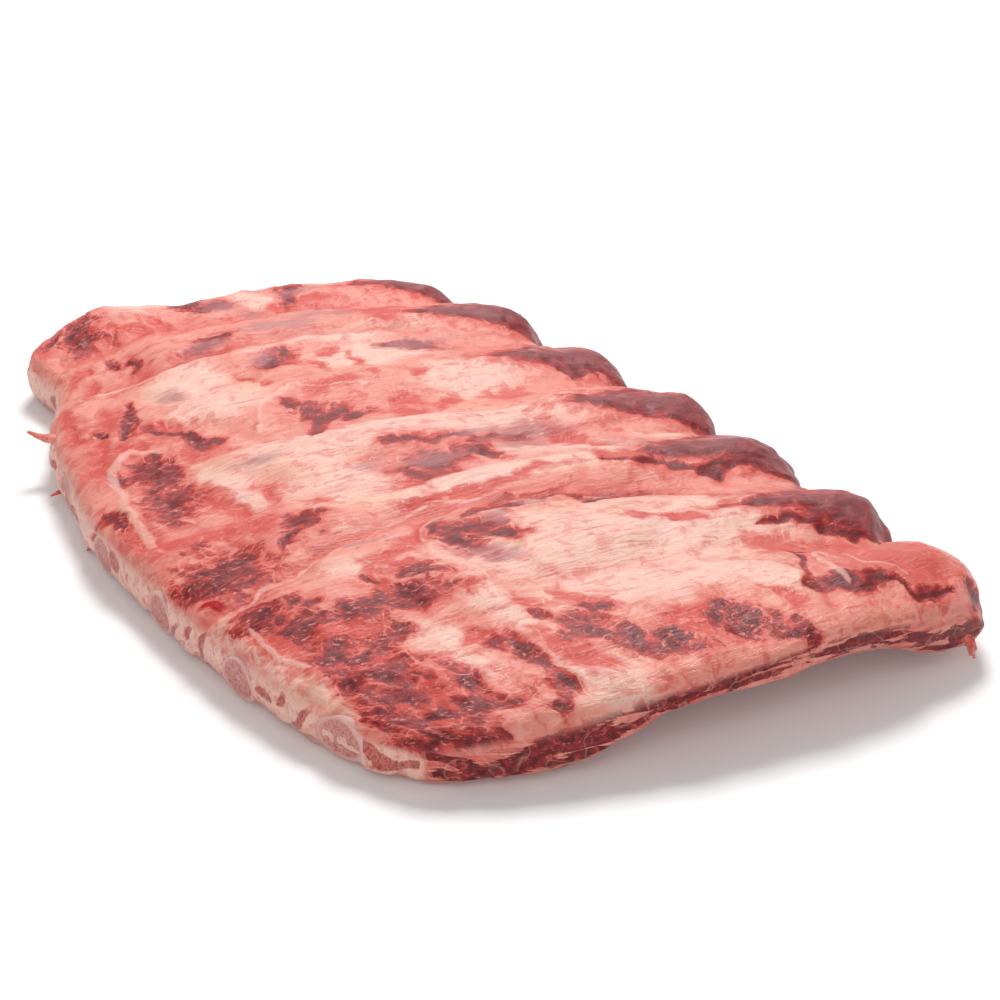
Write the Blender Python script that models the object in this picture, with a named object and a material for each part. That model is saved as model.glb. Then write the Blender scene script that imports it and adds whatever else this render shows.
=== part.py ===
"""A raw rack of seven beef back ribs, lying with its fat side up.

The slab of meat and fat is one closed body, and seven rib bones run through it from the sawn
chine side, where their ends show, towards the scalloped thin edge, where they stay covered.

The slab's surface is the skin of a box lattice with three directions, each running from 0 to 1:
    across  from the sawn chine side (-X) to the thin edge (+X), along the ribs
    along   from the near cut (-Y) to the far end (+Y), along the spine
    up      from the underside to the fat cover (+Z)
"""
import math

import bmesh
import bpy
import numpy as np

MM = 0.001

# Driving dimensions of the slab.
CHINE_LENGTH = 382 * MM       # near corner to far corner along the sawn chine side
THIN_LENGTH = 400 * MM        # the same along the thin edge
CUT_SLANT = 27 * MM           # how far the near cut swings towards -Y on its way to the thin edge
CHINE_HEIGHT = 22 * MM        # the sawn chine side
CROWN_HEIGHT = 36 * MM        # top of the slab above the arch
THIN_HEIGHT = 26 * MM         # top of the lobes on the thin edge, before its rounding
ARCH_HEIGHT = 12 * MM         # underside above the floor, at the highest
NEAR_CORNER_LIFT = 4 * MM     # the near corner of the thin edge hangs a little above the floor
NEAR_DROOP = 5 * MM           # the fat cover sinks towards the near corner of the chine side
FAR_DROOP = 4 * MM            # and towards the middle of the far end
CROWN_PROFILE = ((0.0, CHINE_HEIGHT), (0.12, CHINE_HEIGHT + 5 * MM), (0.30, CROWN_HEIGHT - 3 * MM),
                 (0.52, CROWN_HEIGHT), (0.74, CROWN_HEIGHT - 2 * MM),
                 (0.88, THIN_HEIGHT + 5 * MM), (1.0, THIN_HEIGHT))

# Plan outline: x of the two long edges at stations from the near cut (0) to the far end (1).
CHINE_EDGE = ((0.0, -93), (0.05, -104), (0.15, -112), (0.30, -117), (0.48, -118),
              (0.62, -111), (0.74, -102), (0.82, -88), (0.88, -84), (0.94, -88), (1.0, -76))
THIN_EDGE = ((0.0, 117), (0.06, 118), (0.19, 125), (0.47, 130), (0.66, 130), (0.82, 126), (1.0, 110))
NEAR_BULGE = 13 * MM          # the near cut swells outwards, most of all near the chine side
FAR_LUMP = 19 * MM            # a lump of the loin end sticks out near the chine side
SHARP_CORNER = 0.3            # the near corner of the thin edge is rounded this much as the others
FAR_LUMP_PLACE = 0.21
FAR_LUMP_WIDTH = 0.13

# Rounding of the four edges, above and below, as (radius, height lost at the edge).
TOP_ROUNDING = {"chine": (12 * MM, 3 * MM), "thin": (20 * MM, 6.5 * MM),
                "near": (9 * MM, 3.5 * MM), "far": (12 * MM, 4.5 * MM)}
UNDER_ROUNDING = {"chine": (5 * MM, 2 * MM), "thin": (16 * MM, 7 * MM),
                  "near": (6 * MM, 2 * MM), "far": (12 * MM, 5 * MM)}
ROUNDED_WIDTH = 220 * MM      # width that turns a share of the way across into a distance
CHINE_CORNER_INSET = 0.07     # how far a corner is drawn in, as a share of half the width
END_CORNER_INSET = 0.03       # the same as a share of half the length
WALL_SWELL = 1.5 * MM         # how far the walls swell outwards at half their height
THIN_WALL_SWELL = 3 * MM      # the thin edge and the far end swell twice as far

# The seven ribs, as fractions of the length; the bones, ridges and lobes all follow these lines.
RIB_LINES = (0.065, 0.195, 0.340, 0.475, 0.635, 0.800, 0.935)
NOTCH_DEPTH = 12 * MM         # between two lobes of the thin edge
RIDGE_HEIGHT = 1.3 * MM       # half the height of a rib's ridge on the fat cover
LOBE_RIDGE_HEIGHT = 3.2 * MM  # the same close to the thin edge
UNDER_RIDGE_HEIGHT = 1.6 * MM

# Rib bones: an oval bar that thins and flattens on its way to the thin edge.
BONE_WIDTH = 18 * MM
BONE_HEIGHT = 16.5 * MM
BONE_END_WIDTH = 15 * MM
BONE_END_HEIGHT = 9.5 * MM
BONE_END = 0.86               # how far across the slab a bone reaches
BONE_COVER = 2.0 * MM         # meat between a bone and the underside
BONE_GAP = 0.3 * MM           # clearance all round a bone
BONE_TOP_NARROWING = 0.18     # at the chine side a bone's section is narrower above than below
BONE_SIDES = 14
BONE_STATIONS = 9
CUTTER_REACH = 8 * MM         # how far a bone's cutter sticks out of the chine side

# Lattice of the slab.
ACROSS_CELLS = 24
ALONG_CELLS = 58
UP_CELLS = 4
EDGE_CROWDING = 0.45          # lattice lines crowd towards the edges by this share


def smooth_curve(points, place):
    """Value at a place of a smooth curve through (place, value) points, without overshoot."""
    places = [point[0] for point in points]
    values = [point[1] for point in points]
    slopes = [(values[i + 1] - values[i]) / (places[i + 1] - places[i]) for i in range(len(points) - 1)]
    tangents = [slopes[0]]
    for before, after in zip(slopes, slopes[1:]):
        tangents.append(0.0 if before * after <= 0 else 2 * before * after / (before + after))
    tangents.append(slopes[-1])
    place = min(max(place, places[0]), places[-1])
    i = min(max(int(np.searchsorted(places, place)) - 1, 0), len(slopes) - 1)
    span = places[i + 1] - places[i]
    t = (place - places[i]) / span
    return (values[i] * (1 + 2 * t) * (1 - t) ** 2 + tangents[i] * span * t * (1 - t) ** 2
            + values[i + 1] * t * t * (3 - 2 * t) + tangents[i + 1] * span * t * t * (t - 1))


def ramp(value, start, end):
    """0 before start, 1 after end, smooth between."""
    t = min(max((value - start) / (end - start), 0.0), 1.0)
    return t * t * (3 - 2 * t)


def rib_phase(along):
    """Counts the ribs along the spine: whole numbers lie on the rib lines, halves between them."""
    lines = [(line, float(index)) for index, line in enumerate(RIB_LINES)]
    first_step = RIB_LINES[1] - RIB_LINES[0]
    last_step = RIB_LINES[-1] - RIB_LINES[-2]
    lines.insert(0, (RIB_LINES[0] - first_step, -1.0))
    lines.append((RIB_LINES[-1] + last_step, float(len(RIB_LINES))))
    return smooth_curve(lines, along)


def chine_point(along):
    return smooth_curve(CHINE_EDGE, along) * MM, CHINE_LENGTH * (along - 0.5)


def thin_point(along):
    lobe = math.sqrt(math.cos(math.pi * rib_phase(along)) ** 2 + 0.01)
    x = smooth_curve(THIN_EDGE, along) * MM - NOTCH_DEPTH * (1 - lobe)
    return x, THIN_LENGTH * along - CHINE_LENGTH / 2 - CUT_SLANT


def plan_point(across, along):
    """Plan position, with rounded corners, the swelling near cut and the lump at the far end."""
    across_side = 2 * across - 1
    along_side = 2 * along - 1
    corner = (across_side * along_side) ** 6
    if across > 0.5 and along < 0.5:
        corner *= SHARP_CORNER
    across = 0.5 + 0.5 * across_side * (1 - CHINE_CORNER_INSET * corner)
    along = 0.5 + 0.5 * along_side * (1 - END_CORNER_INSET * corner)
    chine_x, chine_y = chine_point(along)
    thin_x, thin_y = thin_point(along)
    x = chine_x + (thin_x - chine_x) * across
    y = chine_y + (thin_y - chine_y) * across
    y -= NEAR_BULGE * math.sin(math.pi * across ** 0.7) * (1 - ramp(along, 0.0, 0.12))
    lump = math.exp(-((across - FAR_LUMP_PLACE) / FAR_LUMP_WIDTH) ** 2)
    y += FAR_LUMP * lump * ramp(along, 0.86, 1.0)
    return x, y


def edge_rounding(distance, radius):
    """1 at an edge, falling to 0 at the given distance from it, as a quarter circle does."""
    if distance >= radius:
        return 0.0
    return 1 - math.sqrt(1 - (1 - distance / radius) ** 2)


def edge_drop(across, along, rounding):
    """Height lost close to the four edges, blended where two edges meet."""
    length = (CHINE_LENGTH + THIN_LENGTH) / 2
    distances = {"chine": across * ROUNDED_WIDTH, "thin": (1 - across) * ROUNDED_WIDTH,
                 "near": along * length, "far": (1 - along) * length}
    drops = [depth * edge_rounding(distances[edge], radius) for edge, (radius, depth) in rounding.items()]
    return sum(drop ** 3 for drop in drops) ** (1 / 3)


def cover_height(across, along):
    """Height of the fat cover above the floor: a crown with the ribs' ridges on it."""
    crown = smooth_curve(CROWN_PROFILE, across)
    ridge = RIDGE_HEIGHT + (LOBE_RIDGE_HEIGHT - RIDGE_HEIGHT) * ramp(across, 0.55, 0.92)
    ridge *= ramp(across, 0.02, 0.30)
    height = crown + ridge * (math.cos(2 * math.pi * rib_phase(along)) - 0.2)
    near_droop = NEAR_DROOP * (1 - ramp(along, 0.0, 0.20)) * (1 - ramp(across, 0.45, 0.75))
    far_droop = FAR_DROOP * ramp(along, 0.82, 1.0) * math.sin(math.pi * across)
    return height - near_droop - far_droop - edge_drop(across, along, TOP_ROUNDING)


def underside_height(across, along):
    """Height of the underside: flat where the slab rests, arched between, ridged by the ribs."""
    arch = ARCH_HEIGHT * ramp(across, 0.20, 0.45) * (1 - ramp(across, 0.70, 0.93))
    ridges = UNDER_RIDGE_HEIGHT * (1 - math.cos(2 * math.pi * rib_phase(along)))
    height = arch + ridges * ramp(arch, 0.0, 0.5 * ARCH_HEIGHT)
    height += NEAR_CORNER_LIFT * ramp(across, 0.55, 0.90) * (1 - ramp(along, 0.0, 0.22))
    return height + edge_drop(across, along, UNDER_ROUNDING)


def slab_point(across, along, up):
    """A point of the slab; between underside and cover the walls swell outwards a little."""
    x, y = plan_point(across, along)
    low = underside_height(across, along)
    high = cover_height(across, along)
    z = low + (high - low) * up
    swell = math.sin(math.pi * up)
    if across == 0.0:
        x -= WALL_SWELL * swell
    if across == 1.0:
        x += THIN_WALL_SWELL * swell
    if along == 0.0:
        y -= WALL_SWELL * swell
    if along == 1.0:
        y += THIN_WALL_SWELL * swell
    return x, y, z


def crowded(index, cells):
    """Lattice line as a fraction of the whole, closer together at both ends."""
    t = index / cells
    return t - EDGE_CROWDING * math.sin(2 * math.pi * t) / (2 * math.pi)


def make_material(name, colour, roughness):
    material = bpy.data.materials.new(name)
    material.use_nodes = True
    shader = material.node_tree.nodes["Principled BSDF"]
    shader.inputs["Base Color"].default_value = (*colour, 1.0)
    shader.inputs["Roughness"].default_value = roughness
    shader.inputs["Metallic"].default_value = 0.0
    material.diffuse_color = (*colour, 1.0)
    return material


def add_object(name, bm, material=None):
    bmesh.ops.recalc_face_normals(bm, faces=bm.faces)
    mesh = bpy.data.meshes.new(name)
    bm.to_mesh(mesh)
    bm.free()
    mesh.shade_smooth()
    mesh.set_sharp_from_angle(angle=math.radians(50))
    piece = bpy.data.objects.new(name, mesh)
    bpy.context.scene.collection.objects.link(piece)
    if material:
        mesh.materials.append(material)
    return piece


def make_slab(material):
    """The skin of the box lattice, as one closed body."""
    bm = bmesh.new()
    corners = {}

    def corner(i, j, k):
        key = (i, j, k)
        if key not in corners:
            place = slab_point(crowded(i, ACROSS_CELLS), crowded(j, ALONG_CELLS), k / UP_CELLS)
            corners[key] = bm.verts.new(place)
        return corners[key]

    def side(fixed_axis, fixed, first_cells, second_cells):
        for a in range(first_cells):
            for b in range(second_cells):
                ring = []
                for da, db in ((0, 0), (1, 0), (1, 1), (0, 1)):
                    key = [a + da, b + db]
                    key.insert(fixed_axis, fixed)
                    ring.append(corner(*key))
                bm.faces.new(ring)

    for fixed in (0, ACROSS_CELLS):
        side(0, fixed, ALONG_CELLS, UP_CELLS)
    for fixed in (0, ALONG_CELLS):
        side(1, fixed, ACROSS_CELLS, UP_CELLS)
    for fixed in (0, UP_CELLS):
        side(2, fixed, ACROSS_CELLS, ALONG_CELLS)
    return add_object("meat", bm, material)


def bone_ring(across, line, gap):
    """One cross-section of a rib bone: an oval with a narrower top, hugging the underside."""
    x, y = plan_point(max(across, 0.0), line)
    share = min(max(across / BONE_END, 0.0), 1.0)
    width = BONE_WIDTH + (BONE_END_WIDTH - BONE_WIDTH) * share
    height = BONE_HEIGHT + (BONE_END_HEIGHT - BONE_HEIGHT) * share
    floor = underside_height(min(max(across, 0.03), 0.97), line) + BONE_COVER
    centre = floor + height / 2
    ring = []
    for step in range(BONE_SIDES):
        angle = 2 * math.pi * step / BONE_SIDES
        rise = math.sin(angle)
        narrowing = 1 - BONE_TOP_NARROWING * rise * (1 - share)
        side = (width / 2 + gap) * math.cos(angle) * narrowing
        ring.append((x, y + side, centre + (height / 2 + gap) * rise))
    return ring


def chine_wall_x(y, z, line):
    """x of the sawn chine side beside a rib line."""
    near_x, near_y = plan_point(0.0, line - 0.03)
    far_x, far_y = plan_point(0.0, line + 0.03)
    x = near_x + (far_x - near_x) * (y - near_y) / (far_y - near_y)
    up = min(max(z / CHINE_HEIGHT, 0.0), 1.0)
    return x - WALL_SWELL * math.sin(math.pi * up)


def make_bone(name, line, gap, reach, material=None):
    """A rib bone, or with a gap and a reach the cutter that makes room for it."""
    stations = [BONE_END * step / (BONE_STATIONS - 1) for step in range(BONE_STATIONS)]
    rings = [bone_ring(across, line, gap) for across in stations]
    rings[0] = [(chine_wall_x(y, z, line), y, z) for x, y, z in rings[0]]
    rings[-1] = [(x + gap, y, z) for x, y, z in rings[-1]]
    if reach:
        rings.insert(0, [(x - reach, y, z) for x, y, z in rings[0]])
    bm = bmesh.new()
    loops = []
    for ring in rings:
        verts = [bm.verts.new(point) for point in ring]
        loops.append([bm.edges.new((verts[i], verts[(i + 1) % len(verts)])) for i in range(len(verts))])
    for before, after in zip(loops, loops[1:]):
        bmesh.ops.bridge_loops(bm, edges=before + after)
    bmesh.ops.contextual_create(bm, geom=loops[0])
    bmesh.ops.contextual_create(bm, geom=loops[-1])
    return add_object(name, bm, material)


def cut_room(slab, cutter):
    """Cuts a bone's room out of the slab and keeps the cutter as a hidden guide."""
    cut = slab.modifiers.new("room for " + cutter.name, "BOOLEAN")
    cut.operation = "DIFFERENCE"
    cut.solver = "EXACT"
    cut.object = cutter
    cutter.hide_render = True
    cutter.display_type = "WIRE"


def centre_on_floor(pieces):
    """Moves the whole rack so that its box stands on z = 0, centred over the origin."""
    shown = [piece for piece in pieces if not piece.hide_render]
    corners = np.array([vertex.co for piece in shown for vertex in piece.data.vertices])
    low = corners.min(axis=0)
    high = corners.max(axis=0)
    shift = np.array([(low[0] + high[0]) / 2, (low[1] + high[1]) / 2, low[2]])
    for piece in pieces:
        for vertex in piece.data.vertices:
            vertex.co = tuple(np.array(vertex.co) - shift)


def build_rack():
    for old in list(bpy.data.objects):
        bpy.data.objects.remove(old, do_unlink=True)
    meat_material = make_material("raw meat and fat", (0.62, 0.27, 0.24), 0.42)
    bone_material = make_material("rib bone", (0.55, 0.36, 0.32), 0.50)
    slab = make_slab(meat_material)
    pieces = [slab]
    for number, line in enumerate(RIB_LINES, start=1):
        cutter = make_bone(f"room_{number}", line, BONE_GAP, CUTTER_REACH)
        cut_room(slab, cutter)
        pieces.append(cutter)
        pieces.append(make_bone(f"rib_{number}", line, 0.0, 0.0, bone_material))
    centre_on_floor(pieces)


build_rack()
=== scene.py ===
"""The looks of a raw rack of beef back ribs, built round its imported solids.

The rack's surface is the skin of a box lattice, as in the solids: "across" runs from the sawn chine
side (0) to the scalloped thin edge (1), "along" from the near cut (0) to the far end (1), and "up"
from the underside (0) to the fat cover (1). Lean patches, creases and membranes are placed by
hundredths of those, with their sizes in millimetres.
"""
import math
from types import SimpleNamespace

import bpy
import numpy as np
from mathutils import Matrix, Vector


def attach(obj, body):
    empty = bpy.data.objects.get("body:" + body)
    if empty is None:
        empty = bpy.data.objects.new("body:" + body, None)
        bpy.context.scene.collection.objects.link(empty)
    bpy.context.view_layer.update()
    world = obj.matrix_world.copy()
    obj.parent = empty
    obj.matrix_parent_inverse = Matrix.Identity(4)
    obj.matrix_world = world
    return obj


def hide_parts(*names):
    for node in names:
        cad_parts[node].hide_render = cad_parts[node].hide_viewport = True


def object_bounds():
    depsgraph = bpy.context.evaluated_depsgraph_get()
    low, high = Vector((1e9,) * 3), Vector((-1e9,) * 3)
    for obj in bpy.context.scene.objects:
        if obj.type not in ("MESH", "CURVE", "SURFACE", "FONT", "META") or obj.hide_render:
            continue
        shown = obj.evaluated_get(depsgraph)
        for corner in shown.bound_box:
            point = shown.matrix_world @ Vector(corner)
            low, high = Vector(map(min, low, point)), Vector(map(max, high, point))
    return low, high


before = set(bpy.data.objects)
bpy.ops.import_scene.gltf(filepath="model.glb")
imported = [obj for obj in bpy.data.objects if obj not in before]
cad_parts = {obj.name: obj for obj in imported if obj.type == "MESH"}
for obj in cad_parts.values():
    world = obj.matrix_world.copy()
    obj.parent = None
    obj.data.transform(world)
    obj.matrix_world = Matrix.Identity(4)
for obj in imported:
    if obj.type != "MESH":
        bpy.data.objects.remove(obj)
CAD_LOW, CAD_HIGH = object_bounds()

MM = 0.001

# The form, with the same driving dimensions as the solids.

CHINE_LENGTH = 382 * MM
THIN_LENGTH = 400 * MM
CUT_SLANT = 27 * MM
CHINE_HEIGHT = 22 * MM
CROWN_HEIGHT = 36 * MM
THIN_HEIGHT = 26 * MM
ARCH_HEIGHT = 12 * MM
NEAR_CORNER_LIFT = 4 * MM
NEAR_DROOP = 5 * MM
FAR_DROOP = 4 * MM
CROWN_PROFILE = ((0.0, CHINE_HEIGHT), (0.12, CHINE_HEIGHT + 5 * MM), (0.30, CROWN_HEIGHT - 3 * MM),
                 (0.52, CROWN_HEIGHT), (0.74, CROWN_HEIGHT - 2 * MM),
                 (0.88, THIN_HEIGHT + 5 * MM), (1.0, THIN_HEIGHT))
CHINE_EDGE = ((0.0, -93), (0.05, -104), (0.15, -112), (0.30, -117), (0.48, -118),
              (0.62, -111), (0.74, -102), (0.82, -88), (0.88, -84), (0.94, -88), (1.0, -76))
THIN_EDGE = ((0.0, 117), (0.06, 118), (0.19, 125), (0.47, 130), (0.66, 130), (0.82, 126), (1.0, 110))
NEAR_BULGE = 13 * MM
FAR_LUMP = 19 * MM
SHARP_CORNER = 0.3
FAR_LUMP_PLACE = 0.21
FAR_LUMP_WIDTH = 0.13
TOP_ROUNDING = {"chine": (12 * MM, 3 * MM), "thin": (20 * MM, 6.5 * MM),
                "near": (9 * MM, 3.5 * MM), "far": (12 * MM, 4.5 * MM)}
UNDER_ROUNDING = {"chine": (5 * MM, 2 * MM), "thin": (16 * MM, 7 * MM),
                  "near": (6 * MM, 2 * MM), "far": (12 * MM, 5 * MM)}
ROUNDED_WIDTH = 220 * MM
CHINE_CORNER_INSET = 0.07
END_CORNER_INSET = 0.03
WALL_SWELL = 1.5 * MM
THIN_WALL_SWELL = 3 * MM
RIB_LINES = (0.065, 0.195, 0.340, 0.475, 0.635, 0.800, 0.935)
NOTCH_DEPTH = 12 * MM
RIDGE_HEIGHT = 1.3 * MM
LOBE_RIDGE_HEIGHT = 3.2 * MM
UNDER_RIDGE_HEIGHT = 1.6 * MM
BONE_WIDTH = 18 * MM
BONE_HEIGHT = 16.5 * MM
BONE_END_WIDTH = 15 * MM
BONE_END_HEIGHT = 9.5 * MM
BONE_END = 0.86
BONE_COVER = 2.0 * MM
BONE_TOP_NARROWING = 0.18

# The lattice. The underside is half as fine as the fat cover.
ACROSS_CELLS = 200
ALONG_CELLS = 340
UP_CELLS = 12
UNDER_INSET = 0.008           # the coarse underside starts this far inside the walls
SKIN = 0.6 * MM               # room kept under the solids' surface for folds and lumps
EDGE_SOFTENING = 22           # rounds of softening that take the hard edges off the slab
NORMAL_SOFTENING = 14         # rounds of softening for the directions that the relief stands out in
FLAT_WIDTH = 240.0            # millimetres across and along, for placing patches and fibres
FLAT_LENGTH = 400.0


def smooth_curve(points, place):
    """Values at an array of places of a smooth curve through (place, value) points."""
    places = np.array([point[0] for point in points])
    values = np.array([point[1] for point in points], float)
    slopes = np.diff(values) / np.diff(places)
    inner = np.zeros(len(slopes) - 1)
    same = slopes[:-1] * slopes[1:] > 0
    inner[same] = 2 * slopes[:-1][same] * slopes[1:][same] / (slopes[:-1] + slopes[1:])[same]
    tangents = np.concatenate([slopes[:1], inner, slopes[-1:]])
    place = np.clip(place, places[0], places[-1])
    i = np.clip(np.searchsorted(places, place) - 1, 0, len(slopes) - 1)
    span = places[i + 1] - places[i]
    t = (place - places[i]) / span
    return (values[i] * (1 + 2 * t) * (1 - t) ** 2 + tangents[i] * span * t * (1 - t) ** 2
            + values[i + 1] * t * t * (3 - 2 * t) + tangents[i + 1] * span * t * t * (t - 1))


def ramp(value, start, end):
    t = np.clip((value - start) / (end - start), 0.0, 1.0)
    return t * t * (3 - 2 * t)


def rib_phase(along):
    lines = [(line, float(index)) for index, line in enumerate(RIB_LINES)]
    lines.insert(0, (2 * RIB_LINES[0] - RIB_LINES[1], -1.0))
    lines.append((2 * RIB_LINES[-1] - RIB_LINES[-2], float(len(RIB_LINES))))
    return smooth_curve(lines, along)


def plan_point(across, along):
    across_side = 2 * across - 1
    along_side = 2 * along - 1
    corner = (across_side * along_side) ** 6
    corner = np.where((across > 0.5) & (along < 0.5), corner * SHARP_CORNER, corner)
    across = 0.5 + 0.5 * across_side * (1 - CHINE_CORNER_INSET * corner)
    along = 0.5 + 0.5 * along_side * (1 - END_CORNER_INSET * corner)
    chine_x = smooth_curve(CHINE_EDGE, along) * MM
    chine_y = CHINE_LENGTH * (along - 0.5)
    lobe = np.sqrt(np.cos(np.pi * rib_phase(along)) ** 2 + 0.01)
    thin_x = smooth_curve(THIN_EDGE, along) * MM - NOTCH_DEPTH * (1 - lobe)
    thin_y = THIN_LENGTH * along - CHINE_LENGTH / 2 - CUT_SLANT
    x = chine_x + (thin_x - chine_x) * across
    y = chine_y + (thin_y - chine_y) * across
    y = y - NEAR_BULGE * np.sin(np.pi * across ** 0.7) * (1 - ramp(along, 0.0, 0.12))
    lump = np.exp(-((across - FAR_LUMP_PLACE) / FAR_LUMP_WIDTH) ** 2)
    return x, y + FAR_LUMP * lump * ramp(along, 0.86, 1.0)


def edge_drop(across, along, rounding):
    length = (CHINE_LENGTH + THIN_LENGTH) / 2
    distances = {"chine": across * ROUNDED_WIDTH, "thin": (1 - across) * ROUNDED_WIDTH,
                 "near": along * length, "far": (1 - along) * length}
    total = 0.0
    for edge, (radius, depth) in rounding.items():
        inside = np.clip(1 - distances[edge] / radius, 0.0, 1.0)
        total = total + (depth * (1 - np.sqrt(1 - inside ** 2))) ** 3
    return total ** (1 / 3)


def cover_height(across, along):
    crown = smooth_curve(CROWN_PROFILE, across)
    ridge = RIDGE_HEIGHT + (LOBE_RIDGE_HEIGHT - RIDGE_HEIGHT) * ramp(across, 0.55, 0.92)
    ridge = ridge * ramp(across, 0.02, 0.30)
    height = crown + ridge * (np.cos(2 * np.pi * rib_phase(along)) - 0.2)
    near_droop = NEAR_DROOP * (1 - ramp(along, 0.0, 0.20)) * (1 - ramp(across, 0.45, 0.75))
    far_droop = FAR_DROOP * ramp(along, 0.82, 1.0) * np.sin(np.pi * across)
    return height - near_droop - far_droop - edge_drop(across, along, TOP_ROUNDING)


def underside_height(across, along):
    arch = ARCH_HEIGHT * ramp(across, 0.20, 0.45) * (1 - ramp(across, 0.70, 0.93))
    ridges = UNDER_RIDGE_HEIGHT * (1 - np.cos(2 * np.pi * rib_phase(along)))
    height = arch + ridges * ramp(arch, 0.0, 0.5 * ARCH_HEIGHT)
    height = height + NEAR_CORNER_LIFT * ramp(across, 0.55, 0.90) * (1 - ramp(along, 0.0, 0.22))
    return height + edge_drop(across, along, UNDER_ROUNDING)


def slab_points(across, along, up):
    """Points of the slab's skin, in the solids' frame before they were centred."""
    x, y = plan_point(across, along)
    low = underside_height(across, along)
    high = cover_height(across, along)
    swell = np.sin(np.pi * up)
    x = x - WALL_SWELL * swell * (across == 0) + THIN_WALL_SWELL * swell * (across == 1)
    y = y - WALL_SWELL * swell * (along == 0) + THIN_WALL_SWELL * swell * (along == 1)
    return np.stack([x, y, low + (high - low) * up], axis=1)


# Noise and patches.

def lattice_value(cell, seed):
    """A repeatable value between -1 and 1 for each whole-numbered cell corner."""
    mixed = cell[..., 0] * 374761393 + cell[..., 1] * 668265263 + cell[..., 2] * 1274126177 + seed * 40503
    mixed = mixed & 0x7FFFFFFF
    mixed = ((mixed ^ (mixed >> 13)) * 1103515245 + 12345) & 0x7FFFFFFF
    mixed = ((mixed ^ (mixed >> 15)) * 69069 + 1) & 0x7FFFFFFF
    return (mixed >> 7 & 0xFFFF) / 32767.5 - 1


def noise(points, cell, seed):
    """Smooth noise between -1 and 1; the cell may have a size for each axis."""
    scaled = points / np.asarray(cell, float)
    base = np.floor(scaled).astype(np.int64)
    t = scaled - base
    t = t * t * t * (t * (t * 6 - 15) + 10)
    total = 0.0
    for dx in (0, 1):
        for dy in (0, 1):
            for dz in (0, 1):
                weight = (t[:, 0] if dx else 1 - t[:, 0]) * (t[:, 1] if dy else 1 - t[:, 1])
                weight = weight * (t[:, 2] if dz else 1 - t[:, 2])
                total = total + weight * lattice_value(base + np.array([dx, dy, dz]), seed)
    return total


# Patches of the fat cover: across and along in hundredths of the rack, half sizes across and along
# in millimetres, and a turn in degrees where there is one.
DARK_LEAN = (
    # muscle along the chine side
    (7, 31, 17, 23), (3, 30, 8, 14), (10, 33.5, 8, 10), (5.5, 21.5, 9, 13), (11, 21.5, 7, 8, 20),
    (8, 18, 10, 7), (14.5, 17.2, 13, 7), (7.5, 13.5, 10, 9), (12, 12.5, 10, 8), (7, 9.5, 8, 10),
    (12, 9.2, 9, 8), (16.5, 13.5, 6, 6, -30), (9.5, 6.2, 12, 7), (5, 5, 7, 8), (3.5, 1.2, 16, 4, 32),
    (9, 2.8, 14, 4, 28), (14.5, 3, 14, 5, 25), (17, 6.5, 6, 8, 20), (19.5, 17.5, 10, 6, -18),
    (24.5, 17.2, 14, 7, -12), (28, 21, 8, 8, 20), (20.5, 21.2, 3, 6), (22.5, 35, 7, 9, -25),
    (18.5, 32.2, 9, 4, 30),
    # the round eye and the meat behind it
    (10.5, 47, 11, 18, 2), (11, 54, 12, 18), (6, 54.5, 4, 10), (12, 65, 5, 9, -10), (6.5, 66, 3, 5),
    (2.5, 47, 4, 10),
    # near cut
    (27.5, 6.2, 5, 12, -12), (25, 8.5, 5, 5, 20), (26.5, 3, 7, 6), (37, 7, 9, 8, 20),
    (40, 4.8, 9, 9, -20), (45.5, 3, 14, 6, -15), (42, 9, 5, 5, 30), (54, 4.5, 9, 5, -15),
    (56, 2.5, 12, 5, -20), (61, 1.2, 8, 3, -10), (34, 10, 5, 5),
    # middle of the fat cover
    (42, 25.5, 12, 8), (38.5, 23.2, 6, 11), (43, 23.2, 7, 8, 40), (37.5, 26.5, 4, 6),
    (46.5, 39.8, 10, 12), (51.5, 40.5, 10, 9), (56.5, 40, 6, 11), (42.5, 38.5, 6, 9), (38.5, 57.8, 8, 9),
    (42.5, 57, 10, 7), (36.5, 61, 5, 4, 20), (46, 55.2, 9, 4), (42.5, 72.2, 11, 9), (46, 70.6, 4, 6),
    (70.5, 70.5, 9, 8, -20), (66.5, 72.2, 8, 4), (32, 83.2, 12, 10, 10), (29, 81, 9, 6),
    (16.5, 83, 6, 10, 20), (12.5, 85, 4, 6),
    # far end
    (15, 95, 16, 18), (12, 92.5, 10, 7, 20), (6, 96, 8, 10), (43, 94.5, 14, 8), (60, 93, 5, 16, -20),
    (64, 96, 6, 12, -20), (39.5, 97.5, 9, 9), (99, 1.2, 7, 9),
    # near-left corner
    (2, 4, 5, 9), (1, 1.2, 6, 5), (8, 0.6, 12, 3), (6, 3, 8, 5, 30), (19, 3, 8, 4, 20),
    (23, 1.2, 8, 3, 10),
)
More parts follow.
